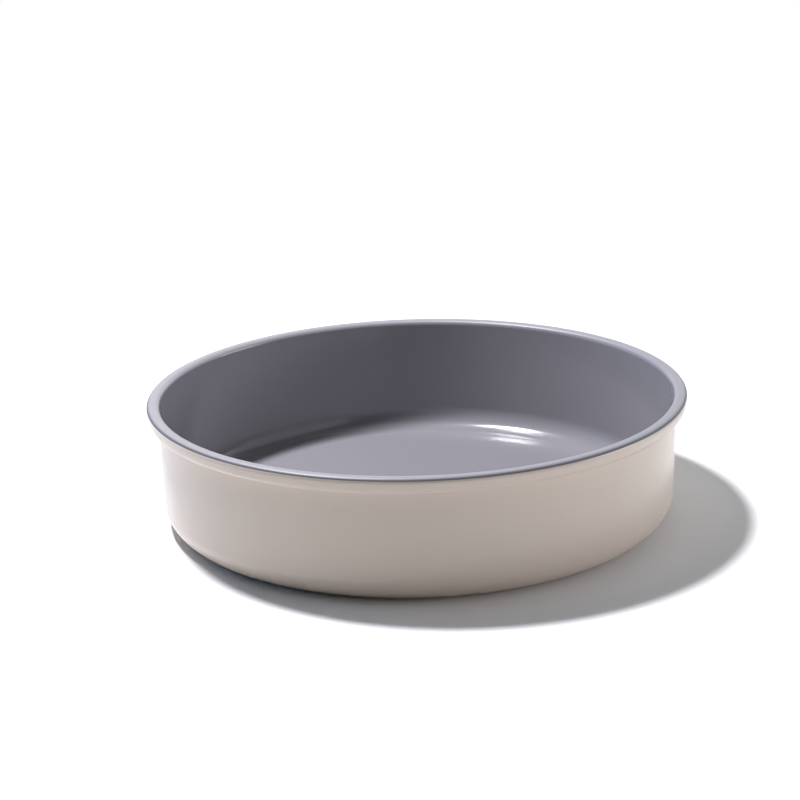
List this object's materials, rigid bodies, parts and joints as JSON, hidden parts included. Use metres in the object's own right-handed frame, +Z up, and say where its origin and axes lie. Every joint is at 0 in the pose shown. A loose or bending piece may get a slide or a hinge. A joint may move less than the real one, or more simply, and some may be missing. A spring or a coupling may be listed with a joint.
{
  "type": "round cake pan",
  "caption": "Round straight-sided cake pan with a rolled, wire-stiffened rim, a grey non-stick lining and a cream outside, for baking cake layers.",
  "frame": {"origin": "centre of the flat underside that the pan stands on", "axes": "+Z up along the pan's axis, out of its mouth; +X to the right and +Y away from the viewer of the picture"},
  "size_m": [0.243, 0.243, 0.057],
  "materials": {
    "shell_steel": "satin",
    "wire_steel": "satin",
    "grey_lining": "satin",
    "cream_coat": "satin"
  },
  "bodies": {
    "root": {"pan_shell": "shell_steel", "rim_wire": "wire_steel", "inner_lining": "grey_lining", "outer_coat": "cream_coat"}
  },
  "joints": []
}
